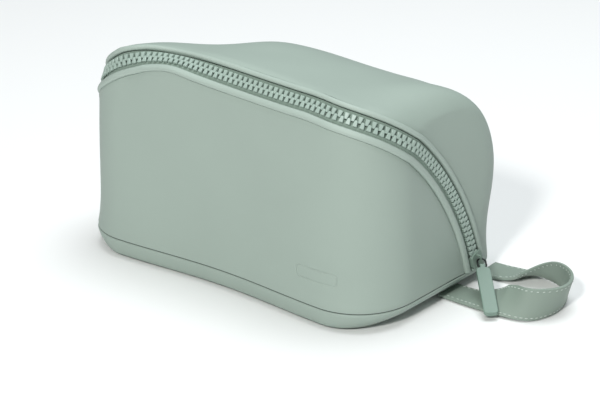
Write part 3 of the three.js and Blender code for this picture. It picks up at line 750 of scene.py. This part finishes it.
frontWelt = loft("front_welt", stripRings(roundSection(**welt)), leatherWelt)
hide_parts("front_piping")
onFront(frontWelt)
rearLip = loft("rear_lip", stripRings(roundSection(**lip)), leatherWelt)
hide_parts("rear_binding")
onBag(rearLip)
frontTape = loft("front_tape", stripRings([(-across, lift) for across, lift in tape]), tapeCloth)
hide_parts("front_zip_tape")
onFront(frontTape)
rearTape = loft("rear_tape", stripRings(tape), tapeCloth)
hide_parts("rear_zip_tape")
onBag(rearTape)
print("strips done")

# Outer and inner are the ends of a tooth, measured from the middle of the zip.
teeth = {"pitch": 4.1, "length": 3.0, "outer": 3.3, "inner": -0.65, "height": 2.0, "lift": 0.2,
         "tipLength": 0.62, "tipHeight": 0.9, "bevel": 0.35, "margin": 4, "lowest": 16.5, "smooth": 35}


def toothMesh():
    bpy.ops.object.select_all(action="DESELECT")
    bpy.ops.mesh.primitive_cube_add(size=1)
    made = context.object
    made.name = "tooth"
    made.scale = (teeth["length"] * mm, (teeth["outer"] - teeth["inner"]) * mm, teeth["height"] * mm)
    bpy.ops.object.transform_apply(location=False, rotation=False, scale=True)
    for v in made.data.vertices:
        if v.co.y > 0:
            v.co.x *= teeth["tipLength"]
            v.co.z *= teeth["tipHeight"]
    bevel = made.modifiers.new("soft", "BEVEL")
    bevel.width = teeth["bevel"] * mm
    bevel.segments = 1
    bpy.ops.object.modifier_apply(modifier=bevel.name)
    return made


def stationAt(length):
    part = clamp(length / zipLength) * (len(stations) - 1)
    k = min(int(part), len(stations) - 2)
    return stations[k] + (stations[k + 1] - stations[k]) * (part - k)


# The rear row stands half a pitch on, so the teeth interlock.
def toothRow(name, side):
    count = int((zipLength - 2 * teeth["margin"]) / teeth["pitch"])
    offset = teeth["margin"] + (0 if side < 0 else teeth["pitch"] / 2)
    across = side * (teeth["outer"] + teeth["inner"]) / 2
    places = []
    for i in range(count):
        place = trackFrame(stationAt(offset + i * teeth["pitch"]))
        if place["at"].z < teeth["lowest"]:
            continue
        middle = bandPoint(place, across, teeth["lift"] + teeth["height"] / 2) * mm
        toward = place["across"] * -side
        basis = Matrix((toward.cross(place["out"]), toward, place["out"])).transposed().to_4x4()
        places.append(Matrix.Translation(middle) @ basis)
    made = scatter(name, tooth, places, toothPlastic)
    bpy.ops.object.shade_smooth_by_angle(angle=math.radians(teeth["smooth"]))
    return made


tooth = toothMesh()
frontTeeth = toothRow("front_zip_teeth", -1)
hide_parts("front_teeth")
onFront(frontTeeth)
rearTeeth = toothRow("rear_zip_teeth", 1)
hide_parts("rear_teeth")
onBag(rearTeeth)
bpy.data.objects.remove(tooth)
print("teeth done")

# The strap's outer edge runs over the stops, x and y in mm. The strap lies flat at both ends and
# stands up on that edge round the loop. Its section is its width in mm and shares of half its thickness.
strap = {"width": 21, "thick": 2.2, "floor": 0.2, "clear": 1.2,
         "tilt": 108, "tiltEase": 2.2, "flatEnd": 7.5, "count": 170, "curve": 24,
         "stops": [(114.5, 9.5), (122, 9.5), (142, 9), (160, 9.5), (176, 15), (183, 31),
                   (180, 52), (168, 69), (146, 76), (122, 73.5), (114.5, 73)],
         "section": [(0.0, 0.0), (0.15, 0.7), (0.8, 0.97), (1.7, 0.86), (3.0, 1.0), (8, 1.0), (13, 1.0),
                     (18, 1.0), (19.3, 0.86), (20.2, 0.97), (20.85, 0.7), (21, 0.0), (20.85, -0.7),
                     (20.2, -0.97), (18, -1), (13, -1), (8, -1), (3, -1), (0.8, -0.97), (0.15, -0.7)]}
stitches = {"pitch": 3.3, "length": 2.3, "radius": 0.33, "rows": (1.75, 19.25), "sink": 0.9}


# Centripetal curve through the stops, sampled at even lengths.
def strapPath(count):
    pts = [Vector((x, y, 0)) for x, y in strap["stops"]]
    pts = [pts[0] * 2 - pts[1]] + pts + [pts[-1] * 2 - pts[-2]]
    dense = []
    for i in range(1, len(pts) - 2):
        p0, p1, p2, p3 = pts[i - 1:i + 3]
        t1 = (p1 - p0).length ** 0.5
        t2 = t1 + (p2 - p1).length ** 0.5
        t3 = t2 + (p3 - p2).length ** 0.5
        for k in range(strap["curve"]):
            t = t1 + (t2 - t1) * k / strap["curve"]
            a1 = p0 * ((t1 - t) / t1) + p1 * (t / t1)
            a2 = p1 * ((t2 - t) / (t2 - t1)) + p2 * ((t - t1) / (t2 - t1))
            a3 = p2 * ((t3 - t) / (t3 - t2)) + p3 * ((t - t2) / (t3 - t2))
            b1 = a1 * ((t2 - t) / t2) + a2 * (t / t2)
            b2 = a2 * ((t3 - t) / (t3 - t1)) + a3 * ((t - t1) / (t3 - t1))
            dense.append(b1 * ((t2 - t) / (t2 - t1)) + b2 * ((t - t1) / (t2 - t1)))
    dense.append(pts[-2])
    steps, length = evenSteps(dense, count)
    return [dense[k].lerp(dense[k + 1], share) for k, share in steps], length


strapSpots, strapLength = strapPath(strap["count"])
strapFrom = strap["flatEnd"] / strapLength
strapTo = 1 - strapFrom


def strapFrame(i):
    before, after = strapSpots[max(i - 1, 0)], strapSpots[min(i + 1, strap["count"])]
    along = (after - before).normalized()
    inward = Vector((-along.y, along.x, 0))
    share = clamp((i / strap["count"] - strapFrom) / (strapTo - strapFrom))
    tilt = math.radians(strap["tilt"]) * math.sin(math.pi * share) ** strap["tiltEase"]
    over = inward * math.cos(tilt) + Vector((0, 0, math.sin(tilt)))
    face = inward * -math.sin(tilt) + Vector((0, 0, math.cos(tilt)))
    low = strap["floor"] + strap["clear"] * abs(math.cos(tilt))
    return strapSpots[i] + Vector((0, 0, low)), along, over, face


def strapRing(i):
    edge, _, over, face = strapFrame(i)
    half = strap["thick"] / 2
    return [edge + over * w + face * half * f for w, f in strap["section"]]


def onStrap(made):
    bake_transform(made)


strapRings = [strapRing(i) for i in range(strap["count"] + 1)]
wristStrap = loft("wrist_strap", strapRings, leatherStrap, ends="faced", angle=50)
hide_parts("strap_front_end", "strap_loop", "strap_rear_end")
onStrap(wristStrap)
strapLength * mm


# Stitches lie along both edges, on both faces.
def stitchPlaces():
    places = []
    depth = strap["thick"] / 2 * stitches["sink"]
    count = int(strapLength / stitches["pitch"])
    for n in range(2, count - 1):
        edge, along, over, face = strapFrame(round(n * stitches["pitch"] / strapLength * strap["count"]))
        for w in stitches["rows"]:
            for side in (1, -1):
                spot = edge + over * w + face * side * depth
                aside = (face * side).cross(along).normalized()
                basis = Matrix((along, aside, along.cross(aside))).transposed().to_4x4()
                places.append(Matrix.Translation(spot * mm) @ basis)
    return places


bpy.ops.object.select_all(action="DESELECT")
bpy.ops.mesh.primitive_uv_sphere_add(segments=6, ring_count=4, radius=1)
stitch = context.object
stitch.scale = (stitches["length"] / 2 * mm, stitches["radius"] * mm, stitches["radius"] * mm)
bpy.ops.object.transform_apply(location=False, rotation=False, scale=True)
strapThread = scatter("strap_stitches", stitch, stitchPlaces(), threadCloth)
bpy.ops.object.shade_smooth()
bpy.data.objects.remove(stitch)
onStrap(strapThread)
print("strap done")

# These keep their CAD shapes and only take a finish.
finishes = {"slider_body": sliderPaint, "pull_link": darkMetal, "pull_tab": pullRubber,
            "base_board": boardCard, "base_lining": liningCloth,
            "zip_stop_left": toothPlastic, "zip_stop_right": toothPlastic}
for name, finish in finishes.items():
    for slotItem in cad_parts[name].material_slots:
        slotItem.material = finish
print("finishes set")

# A pale floor just under the bag, a dim sky, a small key light and a wide one overhead.
studio = {"floorSize": 8, "floorDrop": 0.0003, "sky": 0.25, "aim": (0, 0, 0.05)}
lights = {"key": {"place": (0.67, -1.65, 1.29), "size": 0.26, "power": 29, "color": (1.0, 0.99, 0.97)},
          "top": {"place": (0.1, 0.3, 1.9), "size": 1.6, "power": 31, "color": (0.94, 0.985, 1.0)}}
bpy.ops.object.select_all(action="DESELECT")
bpy.ops.mesh.primitive_plane_add(size=studio["floorSize"], location=(0, 0, -studio["floorDrop"]))
floor = context.object
floor.name = "floor"
floor.data.materials.append(material("floor", colors["floor"], 0.7))

world = bpy.data.worlds.new("studio")
context.scene.world = world
world.use_nodes = True
sky = world.node_tree.nodes["Background"]
sky.inputs["Color"].default_value = (*colors["sky"], 1)
sky.inputs["Strength"].default_value = studio["sky"]
context.scene.view_settings.view_transform = "Standard"

for name, settings in lights.items():
    data = bpy.data.lights.new(name, "AREA")
    data.shape = "DISK"
    data.size = settings["size"]
    data.energy = settings["power"]
    data.color = settings["color"]
    lamp = bpy.data.objects.new(name, data)
    context.scene.collection.objects.link(lamp)
    lamp.location = settings["place"]
    lamp.rotation_mode = "QUATERNION"
    lamp.rotation_quaternion = (Vector(settings["place"]) - Vector(studio["aim"])).to_track_quat("Z", "Y")
print("light set")
